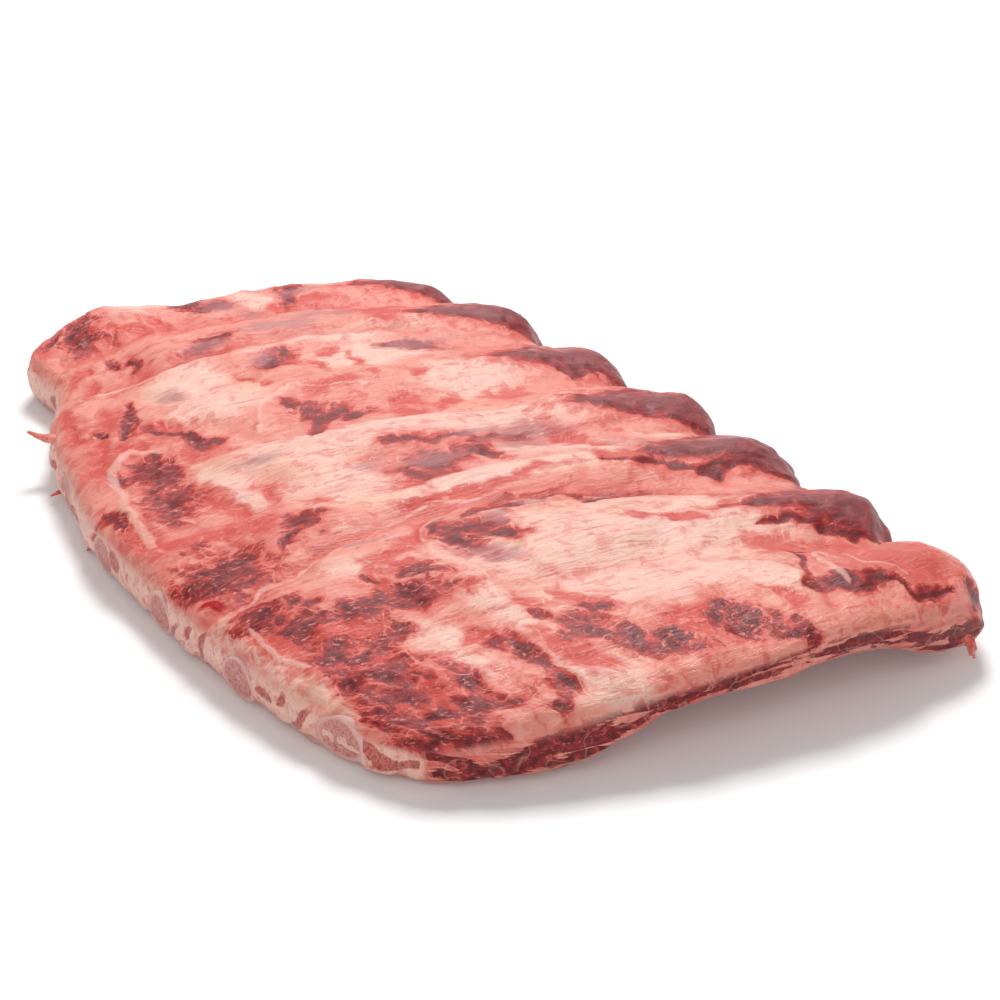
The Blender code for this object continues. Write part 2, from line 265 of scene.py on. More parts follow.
DARK_STREAKS = (
    (((42, 28.8), (47, 29.2), (50, 29.8)), 3.5, 2),
    (((46.5, 28.6), (49, 27.2), (51, 27)), 3, 2),
    (((53, 29.3), (59, 28.3), (63, 27.2), (69, 26.8), (74.5, 26)), 4, 2.5),
    (((59, 28), (61, 26.2), (66, 25.5)), 3, 2),
    (((56, 43), (62, 42.8), (67, 42.2)), 2, 1.6),
    (((43, 45.2), (48, 44.4), (56, 43.8)), 3, 1.8),
    (((40, 56), (38.5, 53.5), (37.2, 51.5)), 5, 2),
    (((11, 63), (12, 66), (14, 72)), 4, 3),
    (((15, 64), (18.5, 60.5), (21.5, 56)), 3, 4),
    (((70, 5.2), (74, 4.6), (78, 3.4), (85, 2.6), (93, 1.6)), 4, 3),
    (((70.5, 5.5), (74, 8), (79, 11)), 1.6, 1.4),
    (((78, 16.5), (85, 16), (92, 14.8), (99, 14.5)), 3, 4),
    (((67, 33), (74, 31.5), (80, 30), (85, 28)), 2, 3),
    (((80, 30), (88, 29.6), (96, 29.4)), 2, 4),
    (((77, 64.5), (83, 61.8), (91, 58.5)), 3, 4),
)
RED_LEAN = (
    (12, 37.5, 15, 6), (17, 37, 9, 8), (6, 39, 12, 5), (11, 15, 15, 12), (10, 5, 18, 10, 10),
    (24.5, 16.5, 16, 5, -5), (21.5, 20, 5, 10), (27, 22.5, 10, 6), (6, 18, 10, 30), (20, 56, 8, 11, 10),
    (16.5, 62.5, 10, 11, 20), (9.5, 69, 8, 14, -10), (36, 11.8, 7, 5), (43, 10.5, 5, 10, 10),
    (24, 9.5, 7, 5), (47, 29, 10, 4), (40, 36.8, 6, 7, 10), (48, 44.8, 16, 4, -8), (44, 62.2, 6, 6),
    (47, 61.8, 4, 6), (52.8, 62.8, 4, 4, 10), (60.2, 61.5, 4, 6), (55, 55.5, 9, 5, -30),
    (54, 53, 8, 7, -30), (62.5, 55, 6, 9, -30), (73.5, 55, 9, 6, 10), (34, 70, 3, 9, 15),
    (36.2, 66.5, 3, 4), (46, 71.5, 7, 8), (54, 73, 4, 4), (56, 69, 2.5, 12, -25), (49, 69, 2.5, 12, -25),
    (68, 82, 12, 16, 25), (67, 79, 10, 6), (64, 90.5, 14, 5), (57, 90, 7, 8), (29, 91, 6, 5),
    (23, 91.5, 10, 3), (5, 96, 10, 16), (17, 78, 8, 5), (7.5, 78.5, 4, 14), (30, 79, 14, 5),
    (86, 7, 26, 16, -20), (90, 11, 20, 10), (79, 12, 6, 12, 40), (85, 16.5, 12, 5), (81, 17.5, 6, 5),
    (73.5, 32, 14, 7, -25), (69, 33.5, 7, 7), (85, 28, 5, 7), (64, 4, 5, 6), (3, 42, 8, 16),
    (16, 44, 5, 16, 10), (5, 60, 6, 20), (10, 60, 8, 8), (72, 40, 4, 16, 20), (80, 47, 10, 8),
    (27, 38, 2, 8, 15), (22.5, 43, 3, 7, 10), (33, 5, 5, 12), (50, 5, 14, 7), (28, 25, 10, 5),
    (33, 27, 8, 5), (50, 32.5, 30, 3, 5), (37, 32, 10, 4, -20), (65, 19, 14, 3, -20),
    (78, 23, 4, 10, 20), (5, 85, 6, 8), (3, 70, 5, 20),
)
SILVER = (
    (38.5, 20.5, 9, 6, -20), (46.2, 26.2, 4, 9, -30), (52, 27.8, 6, 6), (64, 43.5, 34, 7, -6),
    (39, 41.5, 7, 9), (48, 41, 20, 8), (25, 29.2, 12, 3, -15), (42, 85.5, 16, 8), (47, 82.5, 24, 13),
    (58, 84, 24, 13, 12), (49, 90, 9, 8, -20), (44, 94, 16, 12), (40, 73.8, 9, 6),
    (69, 71.2, 20, 10, -10), (76, 72.5, 14, 6), (22, 70.5, 8, 10), (82, 22.5, 7, 16, 25),
    (77, 36.5, 8, 20, 12), (30, 81.5, 14, 9), (62, 94, 12, 10), (65, 41, 16, 6), (25, 49, 14, 8),
    (71, 25.5, 14, 4), (65, 27, 12, 5),
)
PALE_FAT = (
    (56, 19.5, 56, 26), (70, 18, 34, 24), (56, 11.5, 46, 15), (52, 15.5, 9, 4), (23, 24.5, 16, 9),
    (32, 39, 16, 26, 10), (60, 34.5, 44, 10), (65, 48, 40, 14), (33, 49, 26, 20), (31, 1.8, 13, 10),
    (70, 60, 24, 18), (43, 34, 26, 10), (58, 77, 50, 8), (25, 73, 16, 20), (67, 9, 14, 18),
    (30, 96.5, 14, 12), (53, 95, 8, 14), (27, 65, 20, 18), (20.5, 10, 8, 14), (32, 12, 9, 18),
    (47, 50, 40, 10), (2, 15, 5, 40), (66, 38, 24, 12), (60, 70, 26, 16), (78, 7, 3, 9, 15),
    (87, 38, 10, 10), (19, 46, 8, 20),
)
# Lean and fat of the near cut, by (across, up), and scraps of lean on the chine side, by (along, up).
NEAR_CUT_STREAKS = (
    (((8.5, 5), (10.5, 35), (15, 55), (20, 70), (29, 88)), 4, 3.5),
    (((13, 10), (16, 40), (21, 52), (28, 66)), 4, 2.5),
    (((2, 80), (6, 55), (7.5, 30)), 3, 3),
    (((3, 30), (7, 15)), 4, 2),
    (((20, 20), (27, 28), (34, 36), (40, 34)), 5, 1.8),
    (((40, 62), (48, 66), (56, 64), (62, 70)), 3, 1.6),
    (((50, 20), (60, 26), (70, 20)), 3, 1.3),
    (((66, 64), (74, 56), (82, 58), (90, 56)), 3, 1.3),
    (((86, 24), (92, 26), (98, 36)), 4, 1.8),
    (((22, 35), (30, 50)), 3, 2),
    (((33, 92), (37, 80), (43, 72), (52, 80), (64, 84)), 5, 1.4),
    (((35, 55), (42, 50), (48, 56)), 3.4, 1.8),
    (((48, 40), (56, 46), (64, 52)), 1.4, 1.8),
    (((62, 62), (70, 40), (78, 30)), 2.2, 1.8),
    (((64, 90), (74, 78), (82, 82)), 1.6, 1.4),
    (((79, 22), (83, 40), (88, 52), (93, 75)), 1.8, 2.6),
    (((74, 30), (76, 10)), 1.6, 1.2),
    (((92, 50), (96.5, 60), (99, 80)), 4, 9),
)
CHINE_SCRAPS = (
    (((0.2, 50), (2.2, 35), (3.4, 60)), 3, 3),
    (((9.8, 85), (10.6, 50), (11.2, 25)), 2.4, 1.6),
    (((12.6, 80), (13.2, 55)), 2.2, 1.8),
    (((14.6, 55), (15.8, 45)), 2.2, 2.2),
    (((17.2, 70), (18, 40)), 1.6, 1.6),
    (((24.4, 95), (25.2, 55), (25, 20)), 2.4, 1.4),
    (((27.2, 70), (28.4, 45)), 1.6, 2),
    (((30, 50), (31.2, 20)), 1.6, 2),
    (((43.5, 60), (46, 50), (49, 60)), 5, 4),
    (((56, 40), (58, 50)), 3, 3),
    (((69, 60), (72, 50)), 3, 4),
    (((74, 30), (76, 60)), 2, 3),
    (((86, 50), (88, 40)), 3, 3),
)
# Pale membranes that stand out as thin ridges, and the bright slit at the chine edge.
MEMBRANES = (
    (((2, 25), (7, 25.3), (13, 27.2), (20, 28.5), (33, 28)), 1.2, 1),
    (((3, 40), (4.2, 44), (4.6, 50), (5.6, 57), (10, 60), (15, 57.5)), 2.4, 1.6),
    (((23, 31.5), (30, 30.5), (38, 31.5), (46, 31)), 1.2, 0.9),
    (((33, 12), (33.5, 18), (33, 23.5), (34.5, 27.2), (42, 30)), 1.2, 0.9),
    (((4, 13), (2.5, 16), (3.5, 21)), 1.4, 1),
    (((48, 25), (46.5, 27.5), (44, 28.2)), 1.4, 1),
    (((30, 56), (33, 62), (40, 64), (50, 60)), 1.4, 1),
    (((6, 77), (18, 76.8), (32, 77.2)), 1.4, 1),
    (((75, 4.5), (76, 8), (79, 10)), 1.6, 1),
    (((80, 10), (81, 5.5), (86, 4)), 1.4, 1),
)
BLOOD = ((2.2, 26.2, 7, 2.6, -15),)
# Creases between folds of the cover: (across, along) from end to end, with depth and width in mm.
CREASES = (
    (((0, 25.2), (6, 25), (13, 26.2), (22, 29), (34, 30.2)), 2.6, 3),
    (((34, 30.2), (46, 29.8), (56, 29.3), (66, 27.6), (76, 26)), 2.4, 5),
    (((36, 36.2), (46, 36.8), (56, 36.2), (66, 35.2)), 1.4, 5),
    (((38, 43.6), (50, 43.2), (62, 42), (74, 40.8)), 1.6, 4),
    (((30, 54), (42, 52.8), (56, 50.6), (72, 50)), 1.4, 5),
    (((2, 40.5), (10, 40), (20, 40.2), (32, 39.2)), 1, 3.5),
    (((20, 15), (32, 14.8), (46, 14.2), (60, 12.8)), 0.7, 4),
    (((5, 61.2), (14, 64), (24, 60), (30, 54)), 0.8, 3),
    (((10, 78), (24, 78.2), (40, 78.2), (60, 77), (74, 75.2)), 2, 5),
    (((6, 89), (20, 89.2), (36, 89.8), (52, 88.6), (70, 88)), 2, 5),
    (((28, 90.5), (30, 93), (33, 96)), 1, 3),
    (((64, 12), (70, 10), (72, 6), (70, 2)), 1, 3),
    (((76, 11), (80, 8.5), (86, 5), (93, 3)), 1.6, 3),
    (((66, 64), (74, 64), (82, 60)), 1.2, 4),
)


def patch_field(patches, flat):
    """1 at the middle of a patch, 0 on its outline and down to -1 away from all of them."""
    best = np.full(len(flat), -1.0)
    for across, along, half_across, half_along, *turn in patches:
        dx = flat[:, 0] - across / 100 * FLAT_WIDTH
        dy = flat[:, 1] - along / 100 * FLAT_LENGTH
        angle = math.radians(sum(turn))
        cosine = math.cos(angle)
        sine = math.sin(angle)
        reach = np.hypot((dx * cosine + dy * sine) / half_across, (dy * cosine - dx * sine) / half_along)
        best = np.maximum(best, 1 - reach)
    return best


def streak_field(streaks, flat, scale):
    """Like patch_field, for tapering lines given by their points in hundredths of the scale."""
    best = np.full(len(flat), -1.0)
    for route, first_width, last_width in streaks:
        points = np.array(route) / 100 * scale
        widths = np.linspace(first_width, last_width, len(points))
        for leg in range(len(points) - 1):
            step = points[leg + 1] - points[leg]
            t = np.clip(((flat - points[leg]) @ step) / (step @ step), 0, 1)
            gap = flat - points[leg] - t[:, None] * step
            width = widths[leg] + (widths[leg + 1] - widths[leg]) * t
            best = np.maximum(best, 1 - np.hypot(gap[:, 0], gap[:, 1]) / width)
    return best


def crease_field(flat):
    """Depth in metres of the creases, steep on their near side and easy on their far side."""
    depth = np.zeros(len(flat))
    for route, deep, width in CREASES:
        points = np.array(route) / 100 * (FLAT_WIDTH, FLAT_LENGTH)
        nearest = np.full(len(flat), 1e9)
        for start, end in zip(points[:-1], points[1:]):
            step = end - start
            t = np.clip(((flat - start) @ step) / (step @ step), 0, 1)
            gap = flat - start - t[:, None] * step
            side = np.where(gap[:, 1] > 0, 1.9, 0.8)
            nearest = np.minimum(nearest, np.hypot(gap[:, 0], gap[:, 1]) / side)
        depth = np.maximum(depth, deep * MM * np.exp(-(nearest / width) ** 2 * 2))
    return depth


def add_object(name, data):
    thing = bpy.data.objects.new(name, data)
    bpy.context.scene.collection.objects.link(thing)
    return thing


# The meat's mesh.

class Skin:
    """Lattice places, faces and map positions of the rack's closed skin."""

    def __init__(self):
        self.across = []
        self.along = []
        self.up = []
        self.count = 0
        self.faces = []
        self.face_maps = []

    def add_points(self, across, along, up):
        across, along, up = np.broadcast_arrays(across, along, up)
        first = self.count
        self.across.append(across.ravel().astype(float))
        self.along.append(along.ravel().astype(float))
        self.up.append(up.ravel().astype(float))
        self.count += across.size
        return np.arange(first, self.count).reshape(across.shape)

    def add_sheet(self, index, map_box, turned=False):
        """Quads over a grid of point indices, with a rectangle of the map for them."""
        rows, columns = index.shape
        quads = np.stack([index[:-1, :-1], index[1:, :-1], index[1:, 1:], index[:-1, 1:]], axis=-1)
        left, bottom, right, top = map_box
        u = np.broadcast_to(np.linspace(left, right, rows)[:, None], index.shape)
        v = np.broadcast_to(np.linspace(bottom, top, columns)[None, :], index.shape)
        place = np.stack([u, v], axis=-1)
        maps = np.stack([place[:-1, :-1], place[1:, :-1], place[1:, 1:], place[:-1, 1:]], axis=-2)
        if turned:
            quads = quads[..., ::-1]
            maps = maps[..., ::-1, :]
        self.faces.append(quads.reshape(-1, 4))
        self.face_maps.append(maps.reshape(-1, 4, 2))


def spread(cells):
    """Lattice lines from 0 to 1, a little closer together at both ends."""
    t = np.linspace(0, 1, cells + 1)
    return t - 0.3 * np.sin(2 * np.pi * t) / (2 * np.pi)


# Rectangles of the bake map, (left, bottom, right, top): the fat cover gets most of it.
MAP_COVER = (0.004, 0.004, 0.560, 0.996)
MAP_CHINE = (0.568, 0.004, 0.618, 0.996)
MAP_NEAR = (0.626, 0.004, 0.690, 0.996)
MAP_THIN = (0.698, 0.004, 0.742, 0.996)
MAP_FAR = (0.750, 0.004, 0.792, 0.996)
MAP_UNDER = (0.800, 0.004, 0.996, 0.996)


def build_skin():
    skin = Skin()
    across_lines = spread(ACROSS_CELLS)
    along_lines = spread(ALONG_CELLS)
    up_lines = np.linspace(0, 1, UP_CELLS + 1)
    cover = skin.add_points(across_lines[:, None], along_lines[None, :], 1.0)
    skin.add_sheet(cover, MAP_COVER)

    low_up = up_lines[:-1]
    chine = skin.add_points(0.0, along_lines[:, None], low_up[None, :])
    thin = skin.add_points(1.0, along_lines[:, None], low_up[None, :])
    inner = across_lines[1:-1]
    near = skin.add_points(inner[:, None], 0.0, low_up[None, :])
    far = skin.add_points(inner[:, None], 1.0, low_up[None, :])
    near = np.concatenate([chine[:1], near, thin[:1]])
    far = np.concatenate([chine[-1:], far, thin[-1:]])
    walls = ((np.column_stack([chine, cover[0, :]]), MAP_CHINE, False),
             (np.column_stack([thin, cover[-1, :]]), MAP_THIN, True),
             (np.column_stack([near, cover[:, 0]]), MAP_NEAR, True),
             (np.column_stack([far, cover[:, -1]]), MAP_FAR, False))
    for index, box, turned in walls:
        skin.add_sheet(index.T, box, turned)

    under_across = np.linspace(UNDER_INSET, 1 - UNDER_INSET, ACROSS_CELLS // 2 + 1)
    under_along = np.linspace(UNDER_INSET, 1 - UNDER_INSET, ALONG_CELLS // 2 + 1)
    under = skin.add_points(under_across[:, None], under_along[None, :], 0.0)
    skin.add_sheet(under, MAP_UNDER, True)
    fine_loop = np.concatenate([near[:-1, 0], thin[:-1, 0], far[:0:-1, 0], chine[:0:-1, 0]])
    coarse_loop = np.concatenate([under[:-1, 0], under[-1, :-1], under[:0:-1, -1], under[0, :0:-1]])
    return skin, seam_faces(fine_loop, coarse_loop)


def seam_faces(fine, coarse):
    """Triangles between the walls' lower edge and the underside, which is half as fine."""
    triangles = []
    for step in range(len(coarse)):
        a, b, c = (fine[(2 * step + k) % len(fine)] for k in range(3))
        p, q = coarse[step], coarse[(step + 1) % len(coarse)]
        triangles += [(a, p, b), (b, p, q), (b, q, c)]
    return np.array(triangles)


def make_meat():
    skin, seam = build_skin()
    across = np.concatenate(skin.across)
    along = np.concatenate(skin.along)
    up = np.concatenate(skin.up)
    points = slab_points(across, along, up)
    outline = points[:, :2]
    shift = (outline.min(axis=0) + outline.max(axis=0)) / 2
    middle = (np.array(CAD_LOW[:2]) + np.array(CAD_HIGH[:2])) / 2
    points[:, :2] += middle - shift

    quads = np.concatenate(skin.faces)
    pairs = neighbour_pairs(quads, seam)
    points = soften(points, pairs, EDGE_SOFTENING)
    mesh = bpy.data.meshes.new("meat_skin")
    mesh.from_pydata(points.tolist(), [], quads.tolist() + seam.tolist())
    mesh.update()
    normals = np.empty(len(points) * 3, np.float32)
    mesh.vertices.foreach_get("normal", normals)
    normals = soften(normals.reshape(-1, 3).astype(float), pairs, NORMAL_SOFTENING)
    normals /= np.linalg.norm(normals, axis=1)[:, None]
    flat = np.stack([across * FLAT_WIDTH, along * FLAT_LENGTH, points[:, 2] / MM], axis=1)
    zones = find_zones(across, along, up, flat)
    points = points + normals * relief(flat, zones)[:, None]
    points = np.clip(points, np.array(CAD_LOW) + 0.1 * MM, np.array(CAD_HIGH) - 0.1 * MM)
    mesh.vertices.foreach_set("co", points.ravel())
    mesh.update()

    maps = np.concatenate([np.concatenate(skin.face_maps).reshape(-1, 2),
                           seam_maps(seam, across, along)])
    layer = mesh.uv_layers.new(name="OFBake")
    layer.data.foreach_set("uv", maps.ravel())
    store_attributes(mesh, flat, zones)
    mesh.shade_smooth()
    return add_object("meat_skin", mesh), middle - shift


def seam_maps(seam, across, along):
    left, bottom, right, top = MAP_UNDER
    u = left + (right - left) * across[seam.ravel()]
    v = bottom + (top - bottom) * along[seam.ravel()]
    return np.stack([u, v], axis=1)


def find_zones(across, along, up, flat):
    """Where lean, red lean, silver skin and pale fat lie, with painted shade darkening the near flank of
    each lobe, and which face of the slab a point is on.
    """
    wander = np.stack([noise(flat, 15, 11), noise(flat, 15, 12)], axis=1) * 4.5
    wander += np.stack([noise(flat, 6, 13), noise(flat, 6, 14)], axis=1) * 2.4
    wander += np.stack([noise(flat, 3, 15), noise(flat, 3, 16)], axis=1) * 1.1
    place = flat[:, :2] + wander
    scale = (FLAT_WIDTH, FLAT_LENGTH)
    on_cover = ramp(up, 0.70, 1.0)
    scatter = 0.03 * noise(flat, (30, 9, 30), 41) + 0.02 * noise(flat, (12, 5, 12), 42)
    tongue, turn = lobe_field(across + scatter, along)
    zones = {
        "dark": np.maximum(patch_field(DARK_LEAN, place), streak_field(DARK_STREAKS, place, scale)),
        "red": patch_field(RED_LEAN, place),
        "silver": np.maximum(patch_field(SILVER, place), np.clip(tongue - 0.05, -1, 0.14) * 6 - 0.1),
        "pale": patch_field(PALE_FAT, place),
        "cover": on_cover,
        "chine": (1 - ramp(across, 0.0, 0.012)) * (1 - on_cover),
        "near": (1 - ramp(along, 0.0, 0.008)) * (1 - on_cover),
        "under": (1 - ramp(up, 0.0, 0.12)) * ramp(across, 0.0, 0.02) * ramp(along, 0.0, 0.012),
    }
    # painted shade: the lean tongues of the lobes go darker on each lobe's near flank (turn below 0), the
    # side turned away from the key lamp, than on the far flank
    depth = np.where(turn < 0, 0.75, 0.35)
    zones["dark"] = np.maximum(zones["dark"], np.clip(tongue * 9, -1, depth))
    zones["red"] = np.maximum(zones["red"], np.clip(tongue * 7 + 0.25, -1, 0.7))
    drift = 1.6 * np.stack([noise(flat, 7, 17), noise(flat, 7, 18)], axis=1)
    near_place = np.stack([flat[:, 0], up * 26], axis=1) + drift
    chine_place = np.stack([flat[:, 1], up * 20], axis=1) + drift
    near_lean = streak_field(NEAR_CUT_STREAKS, near_place, (FLAT_WIDTH, 26))
    chine_lean = streak_field(CHINE_SCRAPS, chine_place, (FLAT_LENGTH, 20))
    zones["cut"] = np.where(zones["near"] > zones["chine"], near_lean, chine_lean)
    zones["line"] = streak_field(MEMBRANES, flat[:, :2] + 0.5 * wander, scale)
    zones["blood"] = patch_field(BLOOD, place)
    zones["lobe"] = ramp(across, 0.66, 0.80)
    edges = np.maximum(1 - ramp(across, 0.26, 0.34), 1 - ramp(along, 0.12, 0.16))
    zones["marbled"] = edges * (1 - zones["lobe"])
    return zones


def lobe_field(across, along):
    """Tongues of lean on the lobes of the thin edge: above 0 inside them, with tips towards the chine."""
    phase = rib_phase(along)
    turn = phase - np.round(phase)
    tongue = 0.42 - 1.55 * (0.98 - across) - np.abs(turn + 0.03)
    return tongue - 1.0 * (1 - ramp(along, 0.115, 0.15)), turn


def cover_relief(flat, zones):
    """Lumps, ropes of fat, sunken fibrous lean, membranes and creases, in metres."""
    lean = np.clip(np.maximum(zones["dark"], 0.6 * zones["red"]) * 2.5, 0, 1)
    bend = np.stack([noise(flat, 22, 19), noise(flat, 22, 20), np.zeros(len(flat))], axis=1) * 5
    bent = flat + bend
    lumps = 1.4 * noise(bent, 27, 21) + 1.0 * noise(bent, 13, 23)
    ropes = 0.9 * (0.5 - np.abs(noise(bent, (46, 9, 30), 25)))
    ropes = ropes + 0.6 * (0.5 - np.abs(noise(bent, (24, 5, 20), 26)))
    grain = 0.34 * noise(bent, 5.0, 27) + 0.10 * noise(flat, 2.6, 28)
    fibres = (0.38 * noise(flat, (6.0, 2.8, 7.0), 29) - 0.55) * lean
    ridges = 0.35 * np.clip(zones["line"] * 2, 0, 1)
    top = lumps + ropes * (1 - 0.5 * lean) + grain + fibres + ridges
    return top * MM - crease_field(flat[:, :2])


def side_relief(flat, zones):
    """Layers of the near cut, the sawn chine side, the thin edge and the underside, in metres."""
    sawn = 0.9 * noise(flat, 11, 31) + 0.8 * noise(flat, (6, 4.5, 12), 32)
    sawn = sawn + 0.35 * noise(flat, (3, 2.6, 6), 33)
    layers = 0.9 * noise(flat, (40, 40, 5), 35) + 0.7 * noise(flat, (16, 16, 3.4), 36)
    layers = layers - 0.7 * np.clip(zones["cut"] * 2, 0, 1)
    thin = 0.9 * noise(flat, 10, 37) + 0.4 * noise(flat, 4, 38)
    under = 0.7 * noise(flat, 16, 39) + 0.3 * noise(flat, (20, 5, 9), 40)
    off_cover = np.maximum(1 - zones["cover"], 1e-6)
    near = zones["near"] / off_cover
    chine = zones["chine"] / off_cover
    side = near * layers + (1 - near) * (chine * sawn + (1 - chine) * thin)
    pocket = bone_pockets(flat) * chine
    side = side * (1 - pocket) - pocket
    below = zones["under"]
    return ((1 - below) * side + below * under) * MM


def relief(flat, zones):
    """How far the skin stands out from the smooth slab, in metres."""
    cover = zones["cover"]
    return cover * cover_relief(flat, zones) + (1 - cover) * side_relief(flat, zones) - SKIN


def bone_pockets(flat):
    """1 over the sawn bone ends of the chine side, 0 away from them."""
    pocket = np.zeros(len(flat))
    for line in RIB_LINES:
        gap = np.hypot((flat[:, 1] - line * FLAT_LENGTH) / 10.0, (flat[:, 2] - 9.0) / 9.0)
        pocket = np.maximum(pocket, 1 - ramp(gap, 0.75, 1.1))
    return pocket


def neighbour_pairs(quads, seam):
    """Every pair of points that shares an edge, once."""
    sides = [np.stack([quads[:, k], quads[:, (k + 1) % 4]], axis=1) for k in range(4)]
    sides += [np.stack([seam[:, k], seam[:, (k + 1) % 3]], axis=1) for k in range(3)]
    pairs = np.sort(np.concatenate(sides), axis=1)
    return np.unique(pairs, axis=0)


def soften(values, pairs, rounds):
    """Each value moved halfway to the mean of its neighbours, several times over."""
    first, second = pairs[:, 0], pairs[:, 1]
    count = len(values)
    links = np.bincount(first, minlength=count) + np.bincount(second, minlength=count)
    for _ in range(rounds):
        total = np.stack([np.bincount(first, values[second, axis], count)
                          + np.bincount(second, values[first, axis], count)
                          for axis in range(values.shape[1])], axis=1)
        values = 0.5 * values + 0.5 * total / links[:, None]
    return values


def keep_on_points(mesh, name, kind, values):
    """A value for each point under a name that the materials read."""
    layer = mesh.attributes.new(name, kind, "POINT")
    key = {"FLOAT": "value", "FLOAT_COLOR": "color", "FLOAT_VECTOR": "vector"}[kind]
    layer.data.foreach_set(key, np.asarray(values, np.float32).ravel())


def store_attributes(mesh, flat, zones):
    """Zones and fibre coordinates for the material."""
    half = {name: 0.5 + 0.5 * np.clip(value, -1, 1) for name, value in zones.items()}
    # the crease mask is kept for the painted shade in the creases
    crease = np.clip(crease_field(flat[:, :2]) / (2 * MM), 0, 1)
    groups = {"patches": (half["dark"], half["red"], half["silver"]),
              "faces": (half["pale"], zones["near"], zones["chine"]),
              "sides": (zones["under"], crease, zones["lobe"]),
              "cuts": (half["cut"], half["line"], half["blood"])}
    alpha = np.ones(len(flat))
    for name, channels in groups.items():
        keep_on_points(mesh, name, "FLOAT_COLOR", np.stack([*channels, alpha], axis=1))
    keep_on_points(mesh, "marbled", "FLOAT", zones["marbled"])
    keep_on_points(mesh, "grain", "FLOAT_VECTOR", flat)


# Materials.

def tone(red, green, blue):
    """An sRGB colour, 0 to 255, as linear light."""
    def channel(value):
        value /= 255
        return value / 12.92 if value <= 0.04045 else ((value + 0.055) / 1.055) ** 2.4
    return (channel(red), channel(green), channel(blue), 1.0)


PALE_FAT_TONE = tone(249, 200, 184)
FAT_TONE = tone(240, 152, 138)
RUDDY_FAT_TONE = tone(222, 102, 92)
CREAM_TONE = tone(244, 186, 150)
RED_LEAN_TONE = tone(216, 80, 70)
LEAN_TONE = tone(156, 44, 46)
DARK_LEAN_TONE = tone(102, 22, 27)
SILVER_TONE = tone(184, 120, 122)
BLOOD_TONE = tone(190, 16, 18)
BONE_TONE = tone(216, 148, 138)
BONE_RIM_TONE = tone(236, 186, 176)
MARROW_TONE = tone(188, 104, 98)
MEMBRANE_TONE = tone(232, 172, 162)


class Nodes:
    """Short calls for building a material's node tree."""

    def __init__(self, name):
        self.material = bpy.data.materials.new(name)
        self.material.use_nodes = True
        self.tree = self.material.node_tree
        self.shader = self.tree.nodes["Principled BSDF"]

    def new(self, kind, **values):
        node = self.tree.nodes.new(kind)
        for key, value in values.items():
            setattr(node, key, value)
        return node

    def constants(self, **values):
        """Plain values for the shader's sockets, with _ for the spaces in their names."""
        for name, value in values.items():
            self.shader.inputs[name.replace("_", " ")].default_value = value

    def put(self, socket, value):
        if isinstance(value, bpy.types.NodeSocket):
            self.tree.links.new(value, socket)
        else:
            socket.default_value = value

    def math(self, operation, first, second=0.0, third=0.0):
        node = self.new("ShaderNodeMath", operation=operation)
        for socket, value in zip(node.inputs, (first, second, third)):
            self.put(socket, value)
        return node.outputs[0]

    def times(self, first, second):
        return self.math("MULTIPLY", first, second)

    def plus(self, first, second):
        return self.math("ADD", first, second)

    def linear(self, value, slope, start):
        return self.math("MULTIPLY_ADD", value, slope, start)

    def swing(self, value, size):
        """A noise turned into a swing to both sides of nought."""
        return self.times(self.math("SUBTRACT", value, 0.5), size)

    def step(self, value, start, end):
        """0 below start and 1 above end, smooth between."""
        node = self.new("ShaderNodeMapRange", interpolation_type="SMOOTHSTEP")
        for name, item in (("Value", value), ("From Min", start), ("From Max", end)):
            self.put(node.inputs[name], item)
        return node.outputs["Result"]

    def mix(self, factor, first, second, blend="MIX"):
        node = self.new("ShaderNodeMix", data_type="RGBA", blend_type=blend)
        self.put(node.inputs["Factor"], factor)
        self.put(node.inputs["A"], first)
        self.put(node.inputs["B"], second)
        return node.outputs["Result"]

    def tint(self, base, colour, where, strength):
        return self.mix(self.times(where, strength), base, colour)

    def attribute(self, name):
        return self.new("ShaderNodeAttribute", attribute_name=name)

    def channels(self, name):
        split = self.new("ShaderNodeSeparateColor")
        self.put(split.inputs[0], self.attribute(name).outputs["Color"])
        return split.outputs

    def stretched(self, vector, scale):
        node = self.new("ShaderNodeMapping")
        self.put(node.inputs["Vector"], vector)
        node.inputs["Scale"].default_value = scale
        return node.outputs["Vector"]

    def noise(self, vector, scale, detail=3.0, roughness=0.55, distortion=0.0):
        node = self.new("ShaderNodeTexNoise")
        for name, item in (("Vector", vector), ("Scale", scale), ("Detail", detail),
                           ("Roughness", roughness), ("Distortion", distortion)):
            self.put(node.inputs[name], item)
        return node.outputs["Fac"]

    def bump(self, height, strength, distance):
        node = self.new("ShaderNodeBump")
        node.inputs["Strength"].default_value = strength
        node.inputs["Distance"].default_value = distance
        self.put(node.inputs["Height"], height)
        self.put(self.shader.inputs["Normal"], node.outputs["Normal"])

    def ridge(self, value, width):
        """1 where a noise crosses its middle value, falling to 0 within the width: thin lines."""
        off_middle = self.math("ABSOLUTE", self.math("SUBTRACT", value, 0.5))
        return self.math("SUBTRACT", 1.0, self.step(off_middle, 0.0, width))


